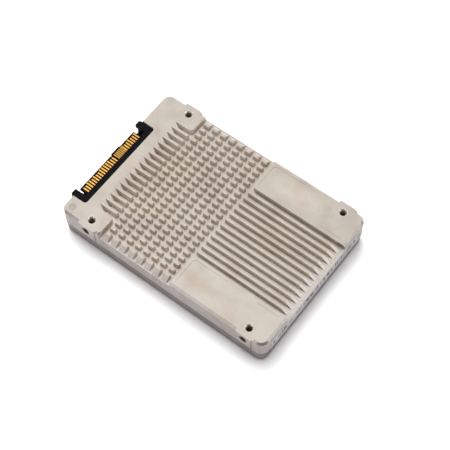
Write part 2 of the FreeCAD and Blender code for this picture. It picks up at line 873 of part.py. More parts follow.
def contact(x, width, tip_y, z, up):
    """Flat spring contact on one face of the tongue, bevelled at its tip."""
    top = z + up * contact_thickness
    chamfer = contact_tip_chamfer
    outline = [(bar_front_y, z), (tip_y, z), (tip_y, z + up * contact_thickness / contact_tip_layers),
               (tip_y - chamfer, top), (bar_front_y, top)]
    wire = Part.makePolygon([Vector(x - width / 2, y, height) for y, height in outline + outline[:1]])
    return Part.Face(wire).extrude(Vector(width, 0, 0))


def contact_tail(x, width):
    """Solder foot of a contact where it leaves the back of the plug."""
    half = tail_width_share * width / 2
    return box(x - half, x + half, shell_back_y - tail_length, shell_back_y, main_top_z,
               main_top_z + tail_thickness)


def power_contacts():
    """Fifteen power contacts; the ones that mate first reach further out."""
    first_to_mate = (3, 4, 5, 6, 7, 10, 12, 13)
    shapes = []
    for number in range(1, power_count + 1):
        x = plug_offset_x + power_first - (number - 1) * contact_pitch
        gap = contact_long_gap if number in first_to_mate else contact_short_gap
        shapes.append(contact(x, contact_width, tongue_tip_y - gap, tongue_top_z, 1))
        shapes.append(contact_tail(x, contact_width))
    return group(shapes)


def signal_contacts():
    """Seven signal contacts; every third is a ground that reaches further out."""
    shapes = []
    for number in range(signal_count):
        x = plug_offset_x + signal_first + number * contact_pitch
        gap = contact_long_gap if number % ground_step == 0 else contact_short_gap
        shapes.append(contact(x, contact_width, tongue_tip_y - gap, tongue_top_z, 1))
        shapes.append(contact_tail(x, contact_width))
    return group(shapes)


def fine_row(count, first, step, tip_y, z, up):
    """Row of narrow contacts on one face of the tongue."""
    places = [plug_offset_x + first + index * step for index in range(count)]
    return [contact(x, fine_width, tip_y, z, up) for x in places]


def key_contacts():
    """Six narrow contacts on the key in the middle of the tongue."""
    return group(fine_row(key_count, key_first, fine_pitch, front_y - contact_short_gap, tongue_top_z, 1))


def rear_side_contacts():
    """Narrow contacts on the other face of the tongue, in three groups."""
    tip = tongue_tip_y - contact_short_gap
    rows = fine_row(rear_power_count, rear_power_first, -fine_pitch, tip, tongue_bottom_z, -1)
    rows += fine_row(rear_key_count, rear_key_first, fine_pitch, tip, tongue_bottom_z, -1)
    rows += fine_row(rear_signal_count, rear_signal_first, fine_pitch, tip, tongue_bottom_z, -1)
    return group(rows)


def end_label():
    """Thin printed strip stuck to the rear face, between the fins' floor and the seam."""
    x0 = label_offset_x - label_width / 2
    z1 = floor_z - label_edge_gap
    strip = rounded_block(x0, x0 + label_width, z1 - label_height, z1, 0, label_thickness, label_corner)
    strip.rotate(Vector(0, 0, 0), Vector(1, 0, 0), quarter_turn)
    return strip.translated(Vector(0, housing_rear, 0))


nodes = {
    "finned_housing": finned_housing,
    "bottom_cover": bottom_cover,
    "connector_shell": connector_shell,
    "power_contacts": power_contacts,
    "signal_contacts": signal_contacts,
    "key_contacts": key_contacts,
    "rear_side_contacts": rear_side_contacts,
    "main_board": main_board,
    "second_board": second_board,
    "controller_chip": controller_chip,
    "controller_pad": controller_pad,
    "buffer_memory_chips": memory_chips,
    "flash_main_upper": lambda: packages(main_top_z, 1),
    "flash_main_lower": lambda: packages(main_bottom_z, -1),
    "flash_second_upper": lambda: packages(second_top_z, 1),
    "flash_second_lower": lambda: packages(second_bottom_z, -1),
    "upper_heat_pads": lambda: pads_over_packages(main_top_z + package_height, roof_z),
    "lower_heat_pads": lambda: pads_over_packages(cover_plate, lower_pad_top_z),
    "hold_up_capacitors": hold_up_capacitors,
    "power_inductors": power_inductors,
    "power_chip": power_chip,
    "board_plug": board_plug,
    "board_socket": board_socket,
    "board_spacers": board_spacers,
    "board_screws": board_screws,
    "cover_screws": cover_screws,
    "end_label": end_label,
}

os.makedirs("parts", exist_ok=True)
for name, make in nodes.items():
    shape = make()
    shape.exportStep("parts/" + name + ".step")
    print(name, len(shape.Solids), round(shape.Volume, 2), shape.isValid())
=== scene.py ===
import json
import math

import bmesh
import bpy
from mathutils import Matrix, Vector


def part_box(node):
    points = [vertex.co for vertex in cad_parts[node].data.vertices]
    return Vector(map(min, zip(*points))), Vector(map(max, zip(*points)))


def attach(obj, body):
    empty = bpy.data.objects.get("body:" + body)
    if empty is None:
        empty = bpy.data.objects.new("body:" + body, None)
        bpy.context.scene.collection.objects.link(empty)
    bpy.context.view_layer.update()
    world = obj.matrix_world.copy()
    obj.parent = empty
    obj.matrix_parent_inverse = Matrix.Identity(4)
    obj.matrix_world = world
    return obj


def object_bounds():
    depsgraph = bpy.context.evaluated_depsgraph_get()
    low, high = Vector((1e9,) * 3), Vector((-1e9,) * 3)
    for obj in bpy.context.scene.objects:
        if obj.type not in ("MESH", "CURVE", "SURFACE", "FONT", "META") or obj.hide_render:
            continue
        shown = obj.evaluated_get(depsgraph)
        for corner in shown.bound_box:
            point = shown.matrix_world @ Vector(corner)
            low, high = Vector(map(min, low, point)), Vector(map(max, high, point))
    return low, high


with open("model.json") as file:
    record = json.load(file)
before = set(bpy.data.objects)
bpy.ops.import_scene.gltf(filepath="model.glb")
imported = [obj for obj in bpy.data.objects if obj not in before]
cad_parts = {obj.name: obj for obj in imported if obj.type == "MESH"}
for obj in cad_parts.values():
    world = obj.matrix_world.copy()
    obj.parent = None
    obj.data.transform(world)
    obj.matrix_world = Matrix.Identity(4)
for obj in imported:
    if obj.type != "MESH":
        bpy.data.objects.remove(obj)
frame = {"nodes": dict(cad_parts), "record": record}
nodes = frame["nodes"]
cad_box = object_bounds()


# Finned housing: the upper half of the drive's case. Pressure die-cast aluminium alloy with a thin chromate
# conversion coat, which leaves a pale warm grey with faint straw and mauve clouds. Its level faces and
# slopes are painted lighter and its upright faces darker, as painted light and shade, and its edges are
# painted brighter, partly as wear and partly as a painted highlight.

def linear(hex_colour):
    """Turns an sRGB hex value to the linear colour a shader takes."""
    values = []
    for start in (1, 3, 5):
        part = int(hex_colour[start:start + 2], 16) / 255
        values.append(part / 12.92 if part <= 0.04045 else ((part + 0.055) / 1.055) ** 2.4)
    return (*values, 1.0)


def add(tree, kind, settings=None, links=None):
    """Adds a node. Settings name its properties, sockets or ramp stops, links name what a socket takes."""
    node = tree.nodes.new(kind)
    for name, value in (settings or {}).items():
        if name == "stops":
            for _ in value[2:]:
                node.color_ramp.elements.new(0.5)
            for element, (position, colour) in zip(node.color_ramp.elements, value):
                element.position = position
                element.color = colour
        elif isinstance(name, str) and hasattr(node, name):
            setattr(node, name, value)
        else:
            node.inputs[name].default_value = value
    for name, output in (links or {}).items():
        tree.links.new(output, node.inputs[name])
    return node


def new_material(name):
    """Empty node material with its shader and output joined."""
    material = bpy.data.materials.new(name)
    material.use_nodes = True
    tree = material.node_tree
    tree.nodes.clear()
    shader = add(tree, "ShaderNodeBsdfPrincipled")
    add(tree, "ShaderNodeOutputMaterial", links={"Surface": shader.outputs["BSDF"]})
    return material, tree, shader


def grey(value):
    """Neutral linear colour for a mask."""
    return (value, value, value, 1.0)


def per_metre(millimetres):
    """Texture scale whose features are about this many millimetres across."""
    return 1000 / millimetres


def dress(node_name, material):
    """Gives a carried-over solid its finish."""
    node = nodes[node_name]
    node.data.materials.clear()
    node.data.materials.append(material)


def chromated_casting(name, tops, floors, slopes, upright, inner, floor_z, top_z):
    """Cast aluminium under a chromate coat, with painted light and shade by the way a face looks, toned by
    height.
    """
    material, tree, shader = new_material(name)
    coordinates = add(tree, "ShaderNodeTexCoord")
    place = coordinates.outputs["Object"]
    where = add(tree, "ShaderNodeSeparateXYZ", links={"Vector": place})
    height = where.outputs["Z"]

    # level faces painted pale and upright faces darker, as painted light and shade; level faces take the
    # tone of their height
    facing = add(tree, "ShaderNodeSeparateXYZ", links={"Vector": coordinates.outputs["Normal"]})
    tilt = add(tree, "ShaderNodeMath", {"operation": "ABSOLUTE"}, {0: facing.outputs["Z"]})
    level_lit_share = add(tree, "ShaderNodeMapRange", {"From Min": 0.2, "From Max": 0.65},
                 {"Value": tilt.outputs["Value"]})
    foot_fade = 0.0004
    sheltered = add(tree, "ShaderNodeMapRange", {"From Min": floor_z, "From Max": floor_z + foot_fade},
                    {"Value": height})
    # sides of fins and pins have a paler tone of their own, painted light that lifts their shade, which
    # keeps clear of the outer walls
    side_margin = 0.0007
    end_margin = 0.0037
    outer_x = add(tree, "ShaderNodeMath", {"operation": "ABSOLUTE"}, {0: where.outputs["X"]})
    outer_y = add(tree, "ShaderNodeMath", {"operation": "ABSOLUTE"}, {0: where.outputs["Y"]})
    inside_x = add(tree, "ShaderNodeMath", {"operation": "LESS_THAN", 1: cad_box[1].x - side_margin},
                   {0: outer_x.outputs["Value"]})
    inside_y = add(tree, "ShaderNodeMath", {"operation": "LESS_THAN", 1: cad_box[1].y - end_margin},
                   {0: outer_y.outputs["Value"]})
    inside = add(tree, "ShaderNodeMath", {"operation": "MULTIPLY"},
                 {0: inside_x.outputs["Value"], 1: inside_y.outputs["Value"]})
    between = add(tree, "ShaderNodeMath", {"operation": "MULTIPLY"},
                  {0: inside.outputs["Value"], 1: sheltered.outputs["Result"]})
    walls = add(tree, "ShaderNodeMix", {"data_type": "RGBA", "A": linear(upright), "B": linear(inner)},
                {"Factor": between.outputs["Value"]})
    raised = add(tree, "ShaderNodeMapRange", {"From Min": floor_z, "From Max": top_z}, {"Value": height})
    levels = add(tree, "ShaderNodeMix", {"data_type": "RGBA", "A": linear(floors), "B": linear(tops)},
                 {"Factor": raised.outputs["Result"]})
    lit_and_shaded_tone = add(tree, "ShaderNodeMix", {"data_type": "RGBA"},
               {"Factor": level_lit_share.outputs["Result"], "A": walls.outputs[2], "B": levels.outputs[2]})
    # bevels and ramps, where the normal's upward share is between 0.6 and 0.88, take their own tone, on the
    # housing a painted highlight
    slope = add(tree, "ShaderNodeValToRGB", {"stops": [(0.45, grey(0)), (0.6, grey(1)), (0.88, grey(1)),
                                                       (0.97, grey(0))]}, {"Fac": tilt.outputs["Value"]})
    slope_share = add(tree, "ShaderNodeMapRange", {"To Max": 0.7}, {"Value": slope.outputs["Color"]})
    base = add(tree, "ShaderNodeMix", {"data_type": "RGBA", "B": linear(slopes)},
               {"Factor": slope_share.outputs["Result"], "A": lit_and_shaded_tone.outputs[2]})

    # clouds of the coat: straw ones about 22 mm across and mauve ones about 11 mm
    wide = add(tree, "ShaderNodeTexNoise", {"Scale": per_metre(22), "Detail": 3.0, "Roughness": 0.55,
                                            "Distortion": 0.8}, {"Vector": place})
    straw = add(tree, "ShaderNodeValToRGB", {"stops": [(0.5, grey(1)), (0.75, linear("#FBF7F0"))]},
                {"Fac": wide.outputs["Fac"]})
    with_straw = add(tree, "ShaderNodeMix", {"data_type": "RGBA", "blend_type": "MULTIPLY", "Factor": 1.0},
                     {"A": base.outputs[2], "B": straw.outputs["Color"]})
    shifted = add(tree, "ShaderNodeMapping", {"Location": (0.31, 0.17, 0.05)}, {"Vector": place})
    middle = add(tree, "ShaderNodeTexNoise", {"Scale": per_metre(11), "Detail": 4.0, "Roughness": 0.6},
                 {"Vector": shifted.outputs["Vector"]})
    mauve = add(tree, "ShaderNodeValToRGB", {"stops": [(0.45, grey(1)), (0.72, linear("#EDE6E7"))]},
                {"Fac": middle.outputs["Fac"]})
    with_mauve = add(tree, "ShaderNodeMix", {"data_type": "RGBA", "blend_type": "MULTIPLY", "Factor": 1.0},
                     {"A": with_straw.outputs[2], "B": mauve.outputs["Color"]})

    # grain of the cast skin, about 0.7 mm with finer grain in it, drawn coarse enough to show
    grain = add(tree, "ShaderNodeTexNoise", {"Scale": per_metre(0.7), "Detail": 3.0, "Roughness": 0.65},
                {"Vector": place})
    speckle = add(tree, "ShaderNodeValToRGB", {"stops": [(0.30, grey(0.93)), (0.70, grey(1.0))]},
                  {"Fac": grain.outputs["Fac"]})
    grained = add(tree, "ShaderNodeMix", {"data_type": "RGBA", "blend_type": "MULTIPLY", "Factor": 1.0},
                  {"A": with_mauve.outputs[2], "B": speckle.outputs["Color"]})

    # painted shade: deep places, such as the tapped holes, are darkened by how much of their surroundings
    # the object hides
    occlusion = add(tree, "ShaderNodeAmbientOcclusion", {"samples": 6, "only_local": True, "Distance": 0.004})
    cavity_shade = add(tree, "ShaderNodeValToRGB", {"stops": [(0.02, grey(0.02)), (0.22, grey(1.0))]},
               {"Fac": occlusion.outputs["AO"]})
    shaded = add(tree, "ShaderNodeMix", {"data_type": "RGBA", "blend_type": "MULTIPLY", "Factor": 1.0},
                 {"A": grained.outputs[2], "B": cavity_shade.outputs["Color"]})

    # edges rounded to a radius of 0.1 mm in the shading and painted brighter, partly as wear and partly as
    # a painted highlight
    edges = add(tree, "ShaderNodeBevel", {"samples": 4, "Radius": 0.0001})
    flat = add(tree, "ShaderNodeNewGeometry")
    turned = add(tree, "ShaderNodeVectorMath", {"operation": "DOT_PRODUCT"},
                 {0: edges.outputs["Normal"], 1: flat.outputs["True Normal"]})
    wear_and_highlight = add(tree, "ShaderNodeMapRange", {"From Min": 0.98, "From Max": 0.8, "To Max": 0.15},
               {"Value": turned.outputs["Value"]})
    worn_and_highlit = add(tree, "ShaderNodeMix", {"data_type": "RGBA", "B": linear("#D9D2CA")},
               {"Factor": wear_and_highlight.outputs["Result"], "A": shaded.outputs[2]})

    # satin all over, and glossier and barer on the slopes, where the tumbling stones slide
    satin = add(tree, "ShaderNodeMapRange", {"To Min": 0.42, "To Max": 0.56},
                {"Value": grain.outputs["Fac"]})
    gloss = add(tree, "ShaderNodeMapRange", {"To Min": 1.0, "To Max": 0.5},
                {"Value": slope.outputs["Color"]})
    rough = add(tree, "ShaderNodeMath", {"operation": "MULTIPLY"},
                {0: satin.outputs["Result"], 1: gloss.outputs["Result"]})
    tree.links.new(rough.outputs["Value"], shader.inputs["Roughness"])
    bare = add(tree, "ShaderNodeMapRange", {"To Min": 0.45, "To Max": 0.8},
               {"Value": slope.outputs["Color"]})
    tree.links.new(bare.outputs["Result"], shader.inputs["Metallic"])
    pits = add(tree, "ShaderNodeBump", {"Strength": 0.3, "Distance": 0.00005},
               {"Height": grain.outputs["Fac"], "Normal": edges.outputs["Normal"]})
    tree.links.new(pits.outputs["Normal"], shader.inputs["Normal"])
    return material, tree, shader, place, worn_and_highlit.outputs[2]


# tones of the housing's faces; the lighter level faces and fin sides and the darker upright faces are
# painted light and shade
housing_material, tree, shader, place, coat_and_painted_light = chromated_casting(
    "chromated_die_cast_aluminium", tops="#8E887F", floors="#918A81", slopes="#BEB8B4", upright="#A69E9B",
    inner="#EADCCE", floor_z=0.0125, top_z=0.0145)

# witness of the ejector pin beside the plug, a disc of 1.5 mm radius where the coat is duller
ejector_centre = (-0.03086, 0.045425, 0.015)
ejector_radius = 0.0015
from_ejector = add(tree, "ShaderNodeVectorMath", {"operation": "DISTANCE", 1: ejector_centre}, {0: place})
witness = add(tree, "ShaderNodeMapRange", {"From Min": ejector_radius + 0.00005,
                                           "From Max": ejector_radius - 0.0001, "To Max": 0.6},
              {"Value": from_ejector.outputs["Value"]})
with_witness = add(tree, "ShaderNodeMix", {"data_type": "RGBA", "B": linear("#6A6963")},
                   {"Factor": witness.outputs["Result"], "A": coat_and_painted_light})

# patches, each with its centre, its half sizes and its tone: a straw stain where the coat dried unevenly at
# the front end of the left pad, and painted light in a thin pale patch along the right pad and in a pale
# band that lifts the shade between the front fins
straw_patch = ((-0.0275, -0.0135, 0.015), (0.00303, 0.00714, 0.00303), linear("#F8F0E1"))
painted_light_right_pad = ((0.0265, -0.0225, 0.015), (0.00417, 0.01111, 0.00303), (1.22, 1.24, 1.25, 1))
painted_light_front_fins = ((0.0, 0.0322, 0.0131), (0.2, 0.00526, 0.00115), (1.36, 1.42, 1.46, 1))
patched = with_witness
for patch_centre, half_size, stain_and_light_tone in (straw_patch, painted_light_right_pad, painted_light_front_fins):
    patch_place = add(tree, "ShaderNodeVectorMath", {"operation": "SUBTRACT", 1: patch_centre}, {0: place})
    patch_shape = add(tree, "ShaderNodeVectorMath", {"operation": "DIVIDE", 1: half_size},
                      {0: patch_place.outputs["Vector"]})
    patch_reach = add(tree, "ShaderNodeVectorMath", {"operation": "LENGTH"},
                      {0: patch_shape.outputs["Vector"]})
    patch = add(tree, "ShaderNodeMapRange", {"From Min": 1.3, "From Max": 0.2, "To Max": 0.9},
                {"Value": patch_reach.outputs["Value"]})
    patched = add(tree, "ShaderNodeMix", {"data_type": "RGBA", "blend_type": "MULTIPLY", "B": stain_and_light_tone},
                  {"Factor": patch.outputs["Result"], "A": patched.outputs[2]})

# fine darker line on both rear pads, 10 mm long
pad_line_x = 0.0206
pad_line_y = -0.042
pad_line_reach = 0.005
pad_line_half_width = 0.00009
across = add(tree, "ShaderNodeSeparateXYZ", links={"Vector": place})
out_from_middle = add(tree, "ShaderNodeMath", {"operation": "ABSOLUTE"}, {0: across.outputs["X"]})
at_line = add(tree, "ShaderNodeMath", {"operation": "COMPARE", 1: pad_line_x, 2: pad_line_half_width},
              {0: out_from_middle.outputs["Value"]})
line_span = add(tree, "ShaderNodeMath", {"operation": "COMPARE", 1: pad_line_y, 2: pad_line_reach},
                {0: across.outputs["Y"]})
line = add(tree, "ShaderNodeMath", {"operation": "MULTIPLY"},
           {0: at_line.outputs["Value"], 1: line_span.outputs["Value"]})
with_line = add(tree, "ShaderNodeMix",
                {"data_type": "RGBA", "blend_type": "MULTIPLY", "B": linear("#C4BCB6")},
                {"Factor": line.outputs["Value"], "A": patched.outputs[2]})

# painted shade along the seam, on the foot of the housing's walls; the cover's lip stands above the seam,
# inside it
cover_lip_height = 0.0012
seam_gap = 0.0002
seam_shade_height = 0.0003
seam_shade_fade = 0.0002
seam_shade_tone = linear("#80746F")
seam_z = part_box("bottom_cover")[1].z - cover_lip_height
seam_shade_top = seam_z + seam_gap + seam_shade_height
at_seam = add(tree, "ShaderNodeMapRange", {"From Min": seam_shade_top + seam_shade_fade, "From Max": seam_shade_top},
              {"Value": across.outputs["Z"]})
with_seam_shade = add(tree, "ShaderNodeMix", {"data_type": "RGBA", "blend_type": "MULTIPLY", "B": seam_shade_tone},
                 {"Factor": at_seam.outputs["Result"], "A": with_line.outputs[2]})

# painted shadow lines across each side wall, at the rear ends of the side pads, 3.7 mm behind the rear hole
# and
# 4.2 mm behind the front one
wall_depth = 0.0006
step_shadow_half_width = 0.00012
record_mounts = {mount["name"]: mount for mount in frame["record"]["mounts"]}
on_wall = add(tree, "ShaderNodeMath", {"operation": "GREATER_THAN", 1: cad_box[1].x - wall_depth},
              {0: out_from_middle.outputs["Value"]})
with_step_shadows = with_seam_shade
for hole_name, behind in (("side_hole_rear_right", 0.0037), ("side_hole_front_right", 0.0042)):
    step_shadow_y = record_mounts[hole_name]["pos_m"][1] - behind
    at_step_shadow = add(tree, "ShaderNodeMath", {"operation": "COMPARE", 1: step_shadow_y, 2: step_shadow_half_width},
                   {0: across.outputs["Y"]})
    step_shadow = add(tree, "ShaderNodeMath", {"operation": "MULTIPLY"},
                     {0: at_step_shadow.outputs["Value"], 1: on_wall.outputs["Value"]})
    with_step_shadows = add(tree, "ShaderNodeMix",
                {"data_type": "RGBA", "blend_type": "MULTIPLY", "B": linear("#7C706B")},
                {"Factor": step_shadow.outputs["Value"], "A": with_step_shadows.outputs[2]})

# side bores painted dark as painted shade, and the countersinks at the holes' mouths, fresh cut and painted
# bright in the finned face, partly as a painted highlight, and painted dark as painted shade in the side
# walls;
# the left half takes the marks of the right half
bore_middle_depth = 0.002
bore_reach = 0.00197
cone_radius = 0.00175
cone_depth = 0.00043
side_hole_z = record_mounts["side_hole_rear_right"]["pos_m"][2]
pattern = record_mounts["face_holes"]
centre = Vector(pattern["pos_m"])
half_across = pattern["dims"]["spacing_x_mm"] / 2000
half_along = pattern["dims"]["spacing_y_mm"] / 2000
folded = add(tree, "ShaderNodeCombineXYZ", links={"X": out_from_middle.outputs["Value"],
                                                  "Y": across.outputs["Y"], "Z": across.outputs["Z"]})
drilled = with_step_shadows
for end in (1, -1):
    face_mouth = centre + Vector((half_across, end * half_along, 0))
    side_mouth = Vector((cad_box[1].x, face_mouth.y, side_hole_z))
    bore_middle = side_mouth - Vector((bore_middle_depth, 0, 0))
    from_bore = add(tree, "ShaderNodeVectorMath", {"operation": "DISTANCE", 1: bore_middle},
                    {0: folded.outputs["Vector"]})
    bore_shade = add(tree, "ShaderNodeMath", {"operation": "LESS_THAN", 1: bore_reach},
               {0: from_bore.outputs["Value"]})
    drilled = add(tree, "ShaderNodeMix", {"data_type": "RGBA", "B": linear("#171310")},
                  {"Factor": bore_shade.outputs["Value"], "A": drilled.outputs[2]})
    for mouth, outward, cone_tone in ((face_mouth, (0, 0, 1), "#D2CCC5"), (side_mouth, (1, 0, 0), "#4A423C")):
        offset = add(tree, "ShaderNodeVectorMath", {"operation": "SUBTRACT", 1: mouth},
                     {0: folded.outputs["Vector"]})
        distance = add(tree, "ShaderNodeVectorMath", {"operation": "LENGTH"},
                       {0: offset.outputs["Vector"]})
        near = add(tree, "ShaderNodeMath", {"operation": "LESS_THAN", 1: cone_radius},
                   {0: distance.outputs["Value"]})
        rise = add(tree, "ShaderNodeVectorMath", {"operation": "DOT_PRODUCT", 1: outward},
                   {0: offset.outputs["Vector"]})
        shallow = add(tree, "ShaderNodeMath", {"operation": "GREATER_THAN", 1: -cone_depth},
                      {0: rise.outputs["Value"]})
        cone = add(tree, "ShaderNodeMath", {"operation": "MULTIPLY"},
                   {0: near.outputs["Value"], 1: shallow.outputs["Value"]})
        drilled = add(tree, "ShaderNodeMix", {"data_type": "RGBA", "B": linear(cone_tone)},
                      {"Factor": cone.outputs["Value"], "A": drilled.outputs[2]})
tree.links.new(drilled.outputs[2], shader.inputs["Base Color"])
dress("finned_housing", housing_material)


# Bottom cover: the shallow lower half of the case, cast and coated as the housing is, with its walls
# painted darker as painted shade, and held by four screws from below. The seam to the housing stays open by
# a fifth of a millimetre.

cover_material, tree, shader, place, coat_and_painted_light = chromated_casting(
    "chromated_die_cast_cover", tops="#8F8882", floors="#8F8882", slopes="#857A76", upright="#857A76",
    inner="#857A76", floor_z=0.0, top_z=0.0056)

# painted shade in the step under the housing's edge
seam_shade_foot = seam_z - seam_shade_height
across = add(tree, "ShaderNodeSeparateXYZ", links={"Vector": place})
at_seam = add(tree, "ShaderNodeMapRange", {"From Min": seam_shade_foot - seam_shade_fade, "From Max": seam_shade_foot},
              {"Value": across.outputs["Z"]})
with_seam_shade = add(tree, "ShaderNodeMix", {"data_type": "RGBA", "blend_type": "MULTIPLY", "B": seam_shade_tone},
                 {"Factor": at_seam.outputs["Result"], "A": coat_and_painted_light})
tree.links.new(with_seam_shade.outputs[2], shader.inputs["Base Color"])
dress("bottom_cover", cover_material)


# Plug shell: one injection moulding of black glass-filled liquid crystal polymer, pressed into the housing.
# The mould leaves it satin, with faint flow lines along its length.

shell_material, tree, shader = new_material("moulded_liquid_crystal_polymer_black")
place = add(tree, "ShaderNodeTexCoord").outputs["Object"]
flow_place = add(tree, "ShaderNodeMapping", {"Scale": (0.15, 1.0, 1.0)}, {"Vector": place})
flow = add(tree, "ShaderNodeTexNoise", {"Scale": per_metre(0.9), "Detail": 4.0},
           {"Vector": flow_place.outputs["Vector"]})
tone = add(tree, "ShaderNodeValToRGB", {"stops": [(0.3, linear("#060508")), (0.7, linear("#0B090E"))]},
           {"Fac": flow.outputs["Fac"]})
tree.links.new(tone.outputs["Color"], shader.inputs["Base Color"])
satin = add(tree, "ShaderNodeMapRange", {"To Min": 0.38, "To Max": 0.55}, {"Value": flow.outputs["Fac"]})
tree.links.new(satin.outputs["Result"], shader.inputs["Roughness"])
edges = add(tree, "ShaderNodeBevel", {"samples": 4, "Radius": 0.00015})
flow_bump = add(tree, "ShaderNodeBump", {"Strength": 0.15, "Distance": 0.00003},
                {"Height": flow.outputs["Fac"], "Normal": edges.outputs["Normal"]})
tree.links.new(flow_bump.outputs["Normal"], shader.inputs["Normal"])
shader.inputs["IOR"].default_value = 1.6
shader.inputs["Specular IOR Level"].default_value = 0.022
dress("connector_shell", shell_material)

# thin web that the mould leaves across the key slot. It meets the tongue on both sides of the slot, and its
# rear end runs into the back bar.
web_length = 0.0057
web_thickness = 0.0003
web_edge_radius = 0.00008
web_below_tongue_top = 0.0008
tip_behind_ears = 0.0004
strip_past_tongue = 0.00005
strip_from_key_side = 0.0002
web_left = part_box("power_contacts")[1].x - strip_past_tongue
web_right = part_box("key_contacts")[0].x - strip_from_key_side
web_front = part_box("connector_shell")[1].y - tip_behind_ears
web_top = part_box("key_contacts")[0].z - web_below_tongue_top
web_low = Vector((web_left, web_front - web_length, web_top - web_thickness))
web_high = Vector((web_right, web_front, web_top))
mesh = bmesh.new()
bmesh.ops.create_cube(mesh, size=1)
for corner in mesh.verts:
    corner.co = [high if way > 0 else low for way, low, high in zip(corner.co, web_low, web_high)]
bmesh.ops.bevel(mesh, geom=mesh.edges[:], offset=web_edge_radius, segments=2, affect="EDGES")
web_data = bpy.data.meshes.new("key_slot_web")
mesh.to_mesh(web_data)
mesh.free()
web_data.materials.append(shell_material)
web = bpy.data.objects.new("key_slot_web", web_data)
bpy.context.scene.collection.objects.link(web)
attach(web, "root")


# Contacts: stamped copper alloy strips, plated with nickel and then hard gold, seated on both faces of the
# tongue. Mating leaves fine wipe marks along each strip.

def gold_strip(name, first_middle, pitch, plated_width):
    """Row of strips whose middles are gold plated, and whose unplated edges are painted near black as
    painted shade.
    """
    material, tree, shader = new_material(name)
    place = add(tree, "ShaderNodeTexCoord").outputs["Object"]
    across = add(tree, "ShaderNodeSeparateXYZ", links={"Vector": place})
    from_first = add(tree, "ShaderNodeMath", {"operation": "SUBTRACT", 1: first_middle},
                     {0: across.outputs["X"]})
    from_middle = add(tree, "ShaderNodeMath", {"operation": "PINGPONG", 1: pitch / 2},
                      {0: from_first.outputs["Value"]})
    half_fade = 0.00003
    plated = add(tree, "ShaderNodeMapRange", {"From Min": plated_width / 2 + half_fade,
                                              "From Max": plated_width / 2 - half_fade},
                 {"Value": from_middle.outputs["Value"]})
    wipe_place = add(tree, "ShaderNodeMapping", {"Scale": (1.0, 0.06, 1.0)}, {"Vector": place})
    wipe = add(tree, "ShaderNodeTexNoise", {"Scale": per_metre(0.12), "Detail": 2.0},
               {"Vector": wipe_place.outputs["Vector"]})
    tone = add(tree, "ShaderNodeValToRGB",
               {"stops": [(0.35, linear("#775826")), (0.65, linear("#906D36"))]},
               {"Fac": wipe.outputs["Fac"]})
    # edges of each strip painted near black: painted shade of the gaps between strips, over their unplated
    # metal
    finish = add(tree, "ShaderNodeMix", {"data_type": "RGBA", "A": linear("#15110D")},
                 {"Factor": plated.outputs["Result"], "B": tone.outputs["Color"]})
    tree.links.new(finish.outputs[2], shader.inputs["Base Color"])
    polish = add(tree, "ShaderNodeMapRange", {"To Min": 0.2, "To Max": 0.4},
                 {"Value": wipe.outputs["Fac"]})
    tree.links.new(polish.outputs["Result"], shader.inputs["Roughness"])
    shader.inputs["Metallic"].default_value = 1.0
    return material


# pitch, width of a strip and width of its plating, in each row; the hidden row is plated all over
wide_strips = (0.00127, 0.00084, 0.0006)
narrow_strips = (0.0008, 0.00046, 0.00036)
hidden_strips = (0.0008, 0.00046, 0.0008)
for contact_row, sizes in (("power_contacts", wide_strips), ("signal_contacts", wide_strips),
                           ("key_contacts", narrow_strips), ("rear_side_contacts", hidden_strips)):
    pitch, width, plated_width = sizes
    first_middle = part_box(contact_row)[1].x - width / 2
    dress(contact_row, gold_strip("hard_gold_on_" + contact_row, first_middle, pitch, plated_width))


# End label: white polyester film with a matt print coat, stuck to the rear face. It carries one row of
# plain dark bars of uneven width that spell nothing.

film_material, tree, shader = new_material("matt_polyester_film")
label_low, label_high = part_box("end_label")
label_height = label_high.z - label_low.z
bar_width = 0.00045
bars_foot = label_low.z + 0.28 * label_height
bars_top = label_low.z + 0.7 * label_height
bars_fade = 0.01 * label_height
place = add(tree, "ShaderNodeTexCoord").outputs["Object"]
across = add(tree, "ShaderNodeSeparateXYZ", links={"Vector": place})
bar_step = add(tree, "ShaderNodeMath", {"operation": "SNAP", 1: bar_width}, {0: across.outputs["X"]})
bars = add(tree, "ShaderNodeTexWhiteNoise", {"noise_dimensions": "1D"}, {"W": bar_step.outputs["Value"]})
printed = add(tree, "ShaderNodeMath", {"operation": "LESS_THAN", 1: 0.5}, {0: bars.outputs["Value"]})
above_foot = add(tree, "ShaderNodeMapRange", {"From Min": bars_foot, "From Max": bars_foot + bars_fade},
                 {"Value": across.outputs["Z"]})
below_top = add(tree, "ShaderNodeMapRange", {"From Min": bars_top, "From Max": bars_top - bars_fade},
                {"Value": across.outputs["Z"]})
row = add(tree, "ShaderNodeMath", {"operation": "MULTIPLY"},
          {0: above_foot.outputs["Result"], 1: below_top.outputs["Result"]})
ink = add(tree, "ShaderNodeMath", {"operation": "MULTIPLY"},
          {0: row.outputs["Value"], 1: printed.outputs["Value"]})
film_fibre = add(tree, "ShaderNodeTexNoise", {"Scale": per_metre(1.5), "Detail": 3.0}, {"Vector": place})
film_tone = add(tree, "ShaderNodeValToRGB",
                {"stops": [(0.3, linear("#A8A6A7")), (0.7, linear("#B4B1B1"))]},
                {"Fac": film_fibre.outputs["Fac"]})
film_colour = add(tree, "ShaderNodeMix", {"data_type": "RGBA", "B": linear("#302E38")},
                  {"Factor": ink.outputs["Value"], "A": film_tone.outputs["Color"]})
tree.links.new(film_colour.outputs[2], shader.inputs["Base Color"])
shader.inputs["Roughness"].default_value = 0.5
dress("end_label", film_material)


# Circuit boards: glass-epoxy laminate with copper tracks under a green solder mask. The mask is glossy and
# stands a little higher over the copper.

